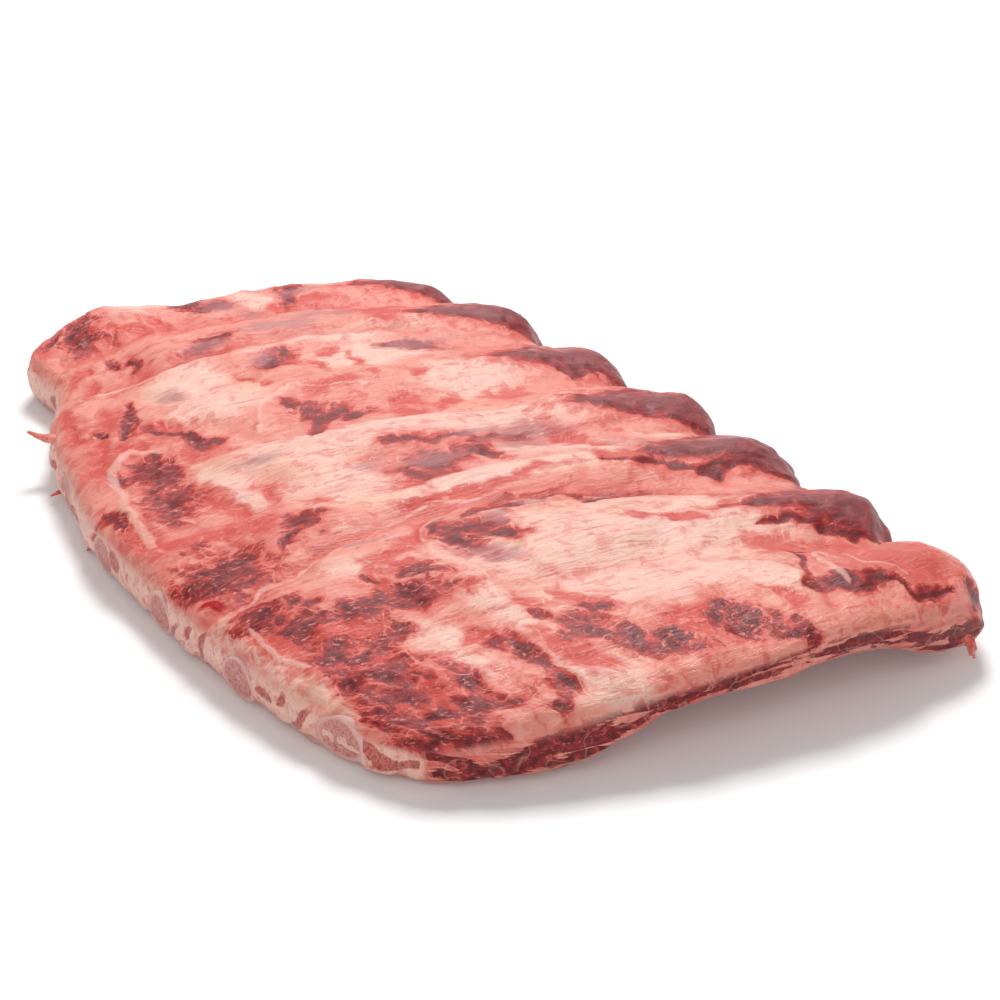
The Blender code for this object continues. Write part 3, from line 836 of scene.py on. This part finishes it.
def meat_patterns(n):
    """The zones kept on the mesh, and the noises that several parts of the meat share."""
    p = SimpleNamespace()
    p.grain = n.attribute("grain").outputs["Vector"]
    p.dark, p.red, p.silver = n.channels("patches")
    p.pale, p.near_cut, p.chine_cut = n.channels("faces")
    p.under, p.crease, p.lobe = n.channels("sides")
    p.cut, p.line, p.blood = n.channels("cuts")
    p.marbled = n.attribute("marbled").outputs["Fac"]
    p.medium = n.noise(p.grain, 0.15, 5.0, 0.64, 0.5)
    p.fine = n.noise(p.grain, 0.45, 4.0, 0.65)
    p.ropes = n.noise(n.stretched(p.grain, (0.05, 0.34, 0.2)), 1.0, 5.0, 0.65, 1.2)
    p.fibre = n.noise(n.stretched(p.grain, (0.35, 1.3, 0.8)), 1.0, 4.0, 0.65, 0.6)
    p.web = n.noise(p.grain, 0.085, 1.0, 0.5, 0.9)
    striae = n.noise(n.stretched(p.grain, (0.035, 0.50, 0.5)), 1.0, 4.0, 0.65, 0.5)
    specks = n.noise(n.stretched(p.grain, (0.36, 0.70, 0.6)), 1.0, 3.0, 0.6, 0.4)
    specks = n.plus(n.times(specks, n.math("SUBTRACT", 1.0, p.lobe)), n.times(striae, p.lobe))
    mottle = n.noise(p.grain, 0.30, 4.0, 0.62, 0.5)
    p.mottle = n.plus(n.times(mottle, n.linear(p.lobe, -0.7, 1.0)), n.times(striae, n.times(p.lobe, 0.7)))
    p.fleck = n.times(n.step(specks, 0.55, 0.62), n.linear(p.marbled, 0.7, 0.3))
    p.fat_fleck = n.times(n.step(specks, 0.61, 0.67), n.times(p.marbled, 0.6))
    ragged = n.plus(n.swing(p.medium, 0.85), n.swing(p.fibre, 0.35))
    inroads = n.math("SUBTRACT", ragged, n.times(n.ridge(p.web, 0.045), 0.16))
    p.dark_place = n.plus(p.dark, inroads)
    p.red_place = n.plus(p.red, inroads)
    p.lean = n.step(p.dark_place, 0.47, 0.56)
    return p


def fat_colour(n, p):
    """Cream, pink and ruddy stretches, with wisps of red that follow the ribs."""
    pale = n.plus(p.pale, n.swing(p.ropes, 0.9))
    fat = n.mix(n.step(pale, 0.28, 0.66), FAT_TONE, PALE_FAT_TONE)
    fat = n.tint(fat, RUDDY_FAT_TONE, n.step(p.medium, 0.50, 0.64), n.linear(p.pale, -0.5, 0.85))
    wisps = n.plus(p.ropes, n.swing(p.fine, 0.25))
    fat = n.tint(fat, RUDDY_FAT_TONE, n.step(wisps, 0.54, 0.66), 0.65)
    fat = n.tint(fat, CREAM_TONE, n.step(n.noise(p.grain, 0.035, 2.0), 0.52, 0.70), 0.25)
    fat = n.tint(fat, RED_LEAN_TONE, n.ridge(p.ropes, 0.02), 0.30)
    return n.tint(fat, PALE_FAT_TONE, n.ridge(p.web, 0.02), 0.25)


def lean_colour(n, p):
    """Red at the feathered edges and dark maroon inside, flecked with fat."""
    deep = n.plus(p.dark_place, n.swing(p.mottle, 1.0))
    lean = n.mix(n.step(deep, 0.45, 0.72), RED_LEAN_TONE, LEAN_TONE)
    lean = n.tint(lean, DARK_LEAN_TONE, n.step(deep, 0.66, 0.98), 0.9)
    lean = n.tint(lean, RUDDY_FAT_TONE, p.fleck, 0.50)
    return n.mix(p.fat_fleck, lean, FAT_TONE)


def cover_colour(n, p):
    """Fat, then lean over it, then painted shade in the creases, membranes, blood and silver skin."""
    flush = n.step(n.math("MAXIMUM", p.dark_place, p.red_place), 0.18, 0.52)
    surface = n.tint(fat_colour(n, p), RUDDY_FAT_TONE, flush, 0.70)
    red_meat = n.mix(n.times(p.fleck, 0.6), RED_LEAN_TONE, FAT_TONE)
    surface = n.tint(surface, red_meat, n.step(p.red_place, 0.46, 0.66), n.linear(p.lobe, -0.45, 0.88))
    surface = n.mix(p.lean, surface, lean_colour(n, p))
    # painted shade: the creases are tinted darker red where shade falls in the folds
    surface = n.tint(surface, RED_LEAN_TONE, p.crease, 0.55)
    surface = n.tint(surface, PALE_FAT_TONE, n.step(p.line, 0.45, 0.80), 0.5)
    surface = n.mix(n.step(p.blood, 0.50, 0.72), surface, BLOOD_TONE)
    threads = n.noise(n.stretched(p.grain, (0.04, 0.8, 0.3)), 1.0, 4.0, 0.6, 0.5)
    veil = n.step(n.plus(p.silver, n.swing(threads, 1.1)), 0.48, 0.85)
    return n.tint(surface, SILVER_TONE, veil, n.linear(p.lobe, -0.34, 0.66))


def sheet_lean_colour(n, p):
    lean = n.mix(n.step(p.mottle, 0.40, 0.62), DARK_LEAN_TONE, LEAN_TONE)
    return n.tint(lean, RUDDY_FAT_TONE, p.fleck, 0.5)


def near_cut_colour(n, p, lean):
    """Sheets of lean and fat."""
    sheets = n.noise(n.stretched(p.grain, (0.03, 0.03, 0.35)), 1.0, 5.0, 0.6, 0.8)
    place = n.plus(n.plus(p.cut, n.swing(sheets, 2.4)), n.swing(p.medium, 0.9))
    fat = n.mix(n.step(sheets, 0.42, 0.62), FAT_TONE, RUDDY_FAT_TONE)
    fat = n.tint(fat, LEAN_TONE, n.ridge(sheets, 0.02), 0.6)
    fat = n.tint(fat, RED_LEAN_TONE, n.step(p.mottle, 0.44, 0.66), 0.5)
    cut = n.mix(n.step(place, 0.42, 0.56), fat, lean)
    return n.tint(cut, PALE_FAT_TONE, n.ridge(p.web, 0.03), 0.22)


def chine_cut_colour(n, p, lean):
    """Sawn fat with scraps of lean."""
    clots = n.plus(p.cut, n.swing(p.medium, 1.6))
    fat = n.mix(n.step(p.mottle, 0.46, 0.76), PALE_FAT_TONE, RUDDY_FAT_TONE)
    fat = n.tint(fat, RED_LEAN_TONE, n.step(p.fibre, 0.5, 0.7), 0.35)
    scraps = n.mix(n.step(p.fibre, 0.40, 0.60), lean, RUDDY_FAT_TONE)
    return n.tint(fat, scraps, n.step(clots, 0.42, 0.64), 0.85)


def meat_bump(n, p):
    """Fibres and fine wrinkles, with the wrinkles stronger on the fat."""
    wrinkles = n.noise(n.stretched(p.grain, (0.10, 0.62, 0.4)), 1.0, 4.0, 0.6, 0.9)
    height = n.plus(n.times(p.fibre, n.linear(p.lean, 0.5, 0.5)), n.times(p.fine, 0.8))
    height = n.plus(height, n.times(wrinkles, n.linear(p.lean, -1.2, 2.0)))
    n.bump(height, 0.45, 0.0009)


def meat_material():
    n = Nodes("raw_meat_and_fat")
    p = meat_patterns(n)
    surface = cover_colour(n, p)
    sheet_lean = sheet_lean_colour(n, p)
    surface = n.mix(p.near_cut, surface, near_cut_colour(n, p, sheet_lean))
    surface = n.mix(p.chine_cut, surface, chine_cut_colour(n, p, sheet_lean))
    membrane = n.mix(n.step(p.ropes, 0.42, 0.65), MEMBRANE_TONE, RUDDY_FAT_TONE)
    surface = n.mix(p.under, surface, membrane)
    n.put(n.shader.inputs["Base Color"], surface)
    gloss = n.linear(n.noise(p.grain, 0.09, 2.0), 0.46, 0.08)
    n.put(n.shader.inputs["Roughness"], n.plus(gloss, n.times(p.fine, 0.12)))
    n.constants(Specular_IOR_Level=0.5, IOR=1.38, Subsurface_Weight=0.15,
                Subsurface_Radius=(1.0, 0.35, 0.25), Subsurface_Scale=0.002)
    meat_bump(n, p)
    return n.material


def bone_material():
    n = Nodes("sawn_bone")
    place = n.attribute("grain").outputs["Vector"]
    rim = n.attribute("rim").outputs["Fac"]
    pores = n.noise(place, 1.1, 3.0, 0.6)
    inside = n.mix(n.step(pores, 0.40, 0.66), BONE_TONE, MARROW_TONE)
    inside = n.tint(inside, LEAN_TONE, n.step(pores, 0.60, 0.70), 0.35)
    n.put(n.shader.inputs["Base Color"], n.mix(rim, inside, BONE_RIM_TONE))
    n.put(n.shader.inputs["Roughness"], n.linear(pores, 0.3, 0.35))
    n.constants(Subsurface_Weight=0.1, Subsurface_Scale=0.0015)
    n.bump(pores, 0.4, 0.0006)
    return n.material


# Rib bones.

def tube_faces(start, rings, sides, hub, tip):
    """Quads along a tube of rings that begins at point start, with a fan at each end."""
    faces = []
    for ring in range(rings - 1):
        here = start + ring * sides
        for side in range(sides):
            after = (side + 1) % sides
            faces.append((here + side, here + after, here + sides + after, here + sides + side))
    last = start + (rings - 1) * sides
    for side in range(sides):
        after = (side + 1) % sides
        faces.append((hub, start + after, start + side))
        faces.append((tip, last + side, last + after))
    return faces


BONE_SIDES = 48
BONE_STATIONS = 24
CAP_RINGS = 9
BONE_RECESS = 1.0 * MM        # how far the sawn ends lie behind the chine wall
BONE_SLIMMING = 0.86          # keeps the bones' upper edge inside the meat's rounded edge


def bone_ring(across, line):
    """A slice of a rib bone: an oval that narrows towards its top."""
    x, y = plan_point(np.array([across]), np.array([line]))
    share = min(max(across / BONE_END, 0.0), 1.0)
    width = BONE_WIDTH + (BONE_END_WIDTH - BONE_WIDTH) * share
    height = BONE_HEIGHT + (BONE_END_HEIGHT - BONE_HEIGHT) * share
    inside = np.array([min(max(across, 0.03), 0.97)])
    floor = underside_height(inside, np.array([line]))[0] + BONE_COVER
    height = height * BONE_SLIMMING
    angles = np.arange(BONE_SIDES) * 2 * np.pi / BONE_SIDES
    rise = np.sin(angles)
    side = width / 2 * np.cos(angles) * (1 - BONE_TOP_NARROWING * rise * (1 - share))
    return np.stack([np.full(BONE_SIDES, x[0]), y[0] + side, floor + height / 2 * (1 + rise)], axis=1)


def chine_wall_x(points, line):
    """Where the sawn ends lie: on the chine wall at each point's place, a little behind it."""
    near = [value[0] for value in plan_point(np.array([0.0]), np.array([line - 0.03]))]
    far = [value[0] for value in plan_point(np.array([0.0]), np.array([line + 0.03]))]
    x = near[0] + (far[0] - near[0]) * (points[:, 1] - near[1]) / (far[1] - near[1])
    up = np.clip(points[:, 2] / CHINE_HEIGHT, 0, 1)
    return x - WALL_SWELL * np.sin(np.pi * up) + BONE_RECESS


def bone_points(number, line, shift):
    """Rings from the slightly hollow sawn end to the blind end, then the middle of each end."""
    stations = BONE_END * np.linspace(0, 1, BONE_STATIONS)
    rings = [bone_ring(across, line) for across in stations]
    end = rings[0].copy()
    centre = end.mean(axis=0)
    rings[0][:, 0] = chine_wall_x(end, line)
    caps = []
    for ring in range(1, CAP_RINGS):
        share = 1 - ring / CAP_RINGS
        cap = centre + (end - centre) * share
        cap[:, 0] = chine_wall_x(cap, line)
        rough = noise(cap / MM, 1.7, 40 + number) * 0.25 * MM * (share < 0.9)
        cap[:, 0] += rough + 0.5 * MM * (share < 0.85)
        caps.append(cap)
    points = np.concatenate(caps[::-1] + rings)
    points[:, :2] += shift
    points[:, 0] = np.maximum(points[:, 0], CAD_LOW[0] + 0.05 * MM)
    hub = centre.copy()
    hub[0] = chine_wall_x(centre[None, :], line)[0] + 0.6 * MM
    hub[:2] += shift
    tip = rings[-1].mean(axis=0) + np.append(shift, 0)
    return np.concatenate([points, [hub], [tip]])


def make_bone(number, line, shift, material):
    """A bar inside the meat, with a hard rim round its sawn end."""
    points = bone_points(number, line, shift)
    rings = BONE_STATIONS + CAP_RINGS - 1
    hub = rings * BONE_SIDES
    mesh = bpy.data.meshes.new(f"rib_bone_{number}")
    mesh.from_pydata(points.tolist(), [], tube_faces(0, rings, BONE_SIDES, hub, hub + 1))
    mesh.update()
    rim = np.zeros(len(points))
    rim[(CAP_RINGS - 1) * BONE_SIDES:] = 1.0
    rim[(CAP_RINGS - 2) * BONE_SIDES:(CAP_RINGS - 1) * BONE_SIDES] = 0.6
    keep_on_points(mesh, "rim", "FLOAT", rim)
    keep_on_points(mesh, "grain", "FLOAT_VECTOR", points / MM)
    mesh.materials.append(material)
    mesh.shade_smooth()
    bone = add_object(f"rib_bone_{number}", mesh)
    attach(bone, "root")
    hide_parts(f"rib_{number}")


# Loose scraps: (points in millimetres from the rack's origin, first radius, last radius).

SCRAPS = (
    (((89.5, -207, 13), (92, -210.6, 10.5), (93.8, -212.6, 7), (94.4, -213.6, 3)), 5, 0.7),
    (((92.5, -207, 13), (93.6, -210.6, 10), (93.4, -212.8, 7.5), (92, -213.8, 5.2)), 4.4, 0.6),
    (((-104, 88, 16), (-110, 90, 17), (-115, 92, 19), (-118.5, 93, 20.5)), 4.5, 0.6),
    (((-108, 66, 6), (-115, 66.5, 5), (-119, 68, 3)), 3, 0.5),
    (((-108, 20, 4.5), (-119.5, 19, 3), (-122.8, 17.5, 1.4)), 2.6, 0.5),
    (((-106, -34, 4), (-117, -35, 2.6), (-121, -37, 1.2)), 2.4, 0.5),
)
SCRAP_GRAIN_SHIFT = (125, 200, 40)     # takes their fibres from a part of the noise of its own
SCRAP_SIDES = 10
SCRAP_STEPS = 18


def scrap_points(number, route, first_radius, last_radius):
    """Rings along a scrap's wavy route, then its two end points."""
    stops = np.linspace(0, 1, len(route))
    places = np.linspace(0, 1, SCRAP_STEPS)
    middle = np.stack([smooth_curve(list(zip(stops, [stop[axis] for stop in route])), places)
                       for axis in range(3)], axis=1)
    middle += 0.5 * np.stack([noise(middle, 3.0, 50 + number + axis) for axis in range(3)], axis=1)
    ahead = np.gradient(middle, axis=0)
    ahead /= np.linalg.norm(ahead, axis=1)[:, None]
    across = np.cross(ahead, (0.3, 0.2, 0.93))
    across /= np.linalg.norm(across, axis=1)[:, None]
    upward = np.cross(ahead, across)
    radius = first_radius + (last_radius - first_radius) * places
    angles = (2 * np.pi * np.arange(SCRAP_SIDES) / SCRAP_SIDES)[None, :, None]
    out = across[:, None] * np.cos(angles) + 0.6 * upward[:, None] * np.sin(angles)
    rings = middle[:, None] + out * radius[:, None, None]
    return np.concatenate([rings.reshape(-1, 3), middle[:1], middle[-1:]])


def make_scraps(material):
    """Short tapering shreds of fat and lean, one mesh for all of them."""
    points = np.concatenate([scrap_points(number, *scrap) for number, scrap in enumerate(SCRAPS)])
    faces = []
    ring_points = SCRAP_STEPS * SCRAP_SIDES
    for start in range(0, len(points), ring_points + 2):
        hub = start + ring_points
        faces += tube_faces(start, SCRAP_STEPS, SCRAP_SIDES, hub, hub + 1)
    points += 0.35 * np.stack([noise(points, 1.8, 60 + axis) for axis in range(3)], axis=1)
    points = np.clip(points * MM, np.array(CAD_LOW) + 0.2 * MM, np.array(CAD_HIGH) - 0.2 * MM)
    mesh = bpy.data.meshes.new("scraps")
    mesh.from_pydata(points.tolist(), [], faces)
    mesh.update()
    nothing = np.full(len(points), -1.0)
    zones = dict.fromkeys(("dark", "silver", "pale", "cut", "line", "blood"), nothing)
    zones.update(dict.fromkeys(("near", "chine", "under", "lobe", "marbled"), nothing + 1))
    zones["red"] = noise(points / MM, 5.0, 64)
    store_attributes(mesh, points / MM + SCRAP_GRAIN_SHIFT, zones)
    mesh.materials.append(material)
    mesh.shade_smooth()
    scraps = add_object("scraps", mesh)
    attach(scraps, "root")


# Floor, light and camera.

CAMERA_PLACE = (-0.3246, -0.6113, 0.3076)
CAMERA_AZIMUTH = -31.0
CAMERA_ELEVATION = 24.0
CAMERA_LENS = 70.0


# How much light the floor adds where it is seen: everywhere, and (from, to, how much) in metres from
# the middle of the rack.
FLOOR_LIFT = 0.07
FLOOR_LIFTS_AWAY = ((0.20, 0.34, 0.17), (0.40, 1.10, 1.0))
FLOOR_REACH = 12.0
FLOOR_DROP = 0.2 * MM
WORLD_STRENGTH = 0.34
# Lamps: (name, place in metres, size in metres, power in watts).
LAMPS = (("key", (0.55, 0.75, 1.50), 0.6, 27), ("fill", (-1.0, -1.2, 1.1), 1.2, 8))
LAMP_TARGET = (0.0, 0.0, 0.02)


def make_floor():
    """A pale floor that keeps the shadow near the rack and turns plain white away from it."""
    corners = [(-FLOOR_REACH, -FLOOR_REACH, 0), (FLOOR_REACH, -FLOOR_REACH, 0),
               (FLOOR_REACH, FLOOR_REACH, 0), (-FLOOR_REACH, FLOOR_REACH, 0)]
    mesh = bpy.data.meshes.new("floor")
    mesh.from_pydata(corners, [], [(0, 1, 2, 3)])
    floor = add_object("floor", mesh)
    floor.location.z = -FLOOR_DROP
    n = Nodes("pale_floor")
    n.constants(Base_Color=(0.9, 0.9, 0.9, 1), Roughness=0.7, Specular_IOR_Level=0.2,
                Emission_Color=(1, 1, 1, 1))
    path = n.new("ShaderNodeLightPath")
    seen = n.math("MAXIMUM", path.outputs["Is Camera Ray"], path.outputs["Is Glossy Ray"])
    seen = n.math("MAXIMUM", seen, path.outputs["Is Transmission Ray"])
    away = n.new("ShaderNodeVectorMath", operation="LENGTH")
    n.put(away.inputs[0], n.new("ShaderNodeTexCoord").outputs["Object"])
    glow = FLOOR_LIFT
    for start, end, lift in FLOOR_LIFTS_AWAY:
        glow = n.plus(n.times(n.step(away.outputs["Value"], start, end), lift), glow)
    n.put(n.shader.inputs["Emission Strength"], n.times(glow, seen))
    mesh.materials.append(n.material)


def make_world():
    """A plain white world, brighter where the camera sees it than where it lights the rack."""
    world = bpy.data.worlds.new("studio")
    bpy.context.scene.world = world
    world.use_nodes = True
    tree = world.node_tree
    background = tree.nodes["Background"]
    background.inputs["Color"].default_value = (1, 1, 1, 1)
    path = tree.nodes.new("ShaderNodeLightPath")
    strength = tree.nodes.new("ShaderNodeMapRange")
    strength.inputs["To Min"].default_value = WORLD_STRENGTH
    strength.inputs["To Max"].default_value = 1.0
    tree.links.new(path.outputs["Is Camera Ray"], strength.inputs["Value"])
    tree.links.new(strength.outputs["Result"], background.inputs["Strength"])


def make_lamp(name, place, size, power):
    light = bpy.data.lights.new(name, "AREA")
    light.shape = "SQUARE"
    light.size = size
    light.energy = power
    lamp = add_object(name, light)
    lamp.location = place
    direction = np.array(LAMP_TARGET) - np.array(place)
    length = np.linalg.norm(direction)
    lamp.rotation_euler = (math.acos(-direction[2] / length), 0,
                           math.atan2(direction[1], direction[0]) - math.pi / 2)


def make_camera():
    camera = add_object("camera", bpy.data.cameras.new("camera"))
    camera.data.lens = CAMERA_LENS
    camera.data.sensor_width = 36.0
    camera.location = CAMERA_PLACE
    camera.rotation_euler = (math.radians(90 - CAMERA_ELEVATION), 0, math.radians(CAMERA_AZIMUTH))
    bpy.context.scene.camera = camera


def main():
    bpy.context.scene.view_settings.view_transform = "Standard"
    make_camera()
    make_world()
    make_floor()
    for lamp in LAMPS:
        make_lamp(*lamp)
    meat, shift = make_meat()
    flesh = meat_material()
    meat.data.materials.append(flesh)
    make_scraps(flesh)
    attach(meat, "root")
    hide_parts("meat")
    bone = bone_material()
    for number, line in enumerate(RIB_LINES, start=1):
        make_bone(number, line, shift, bone)


main()
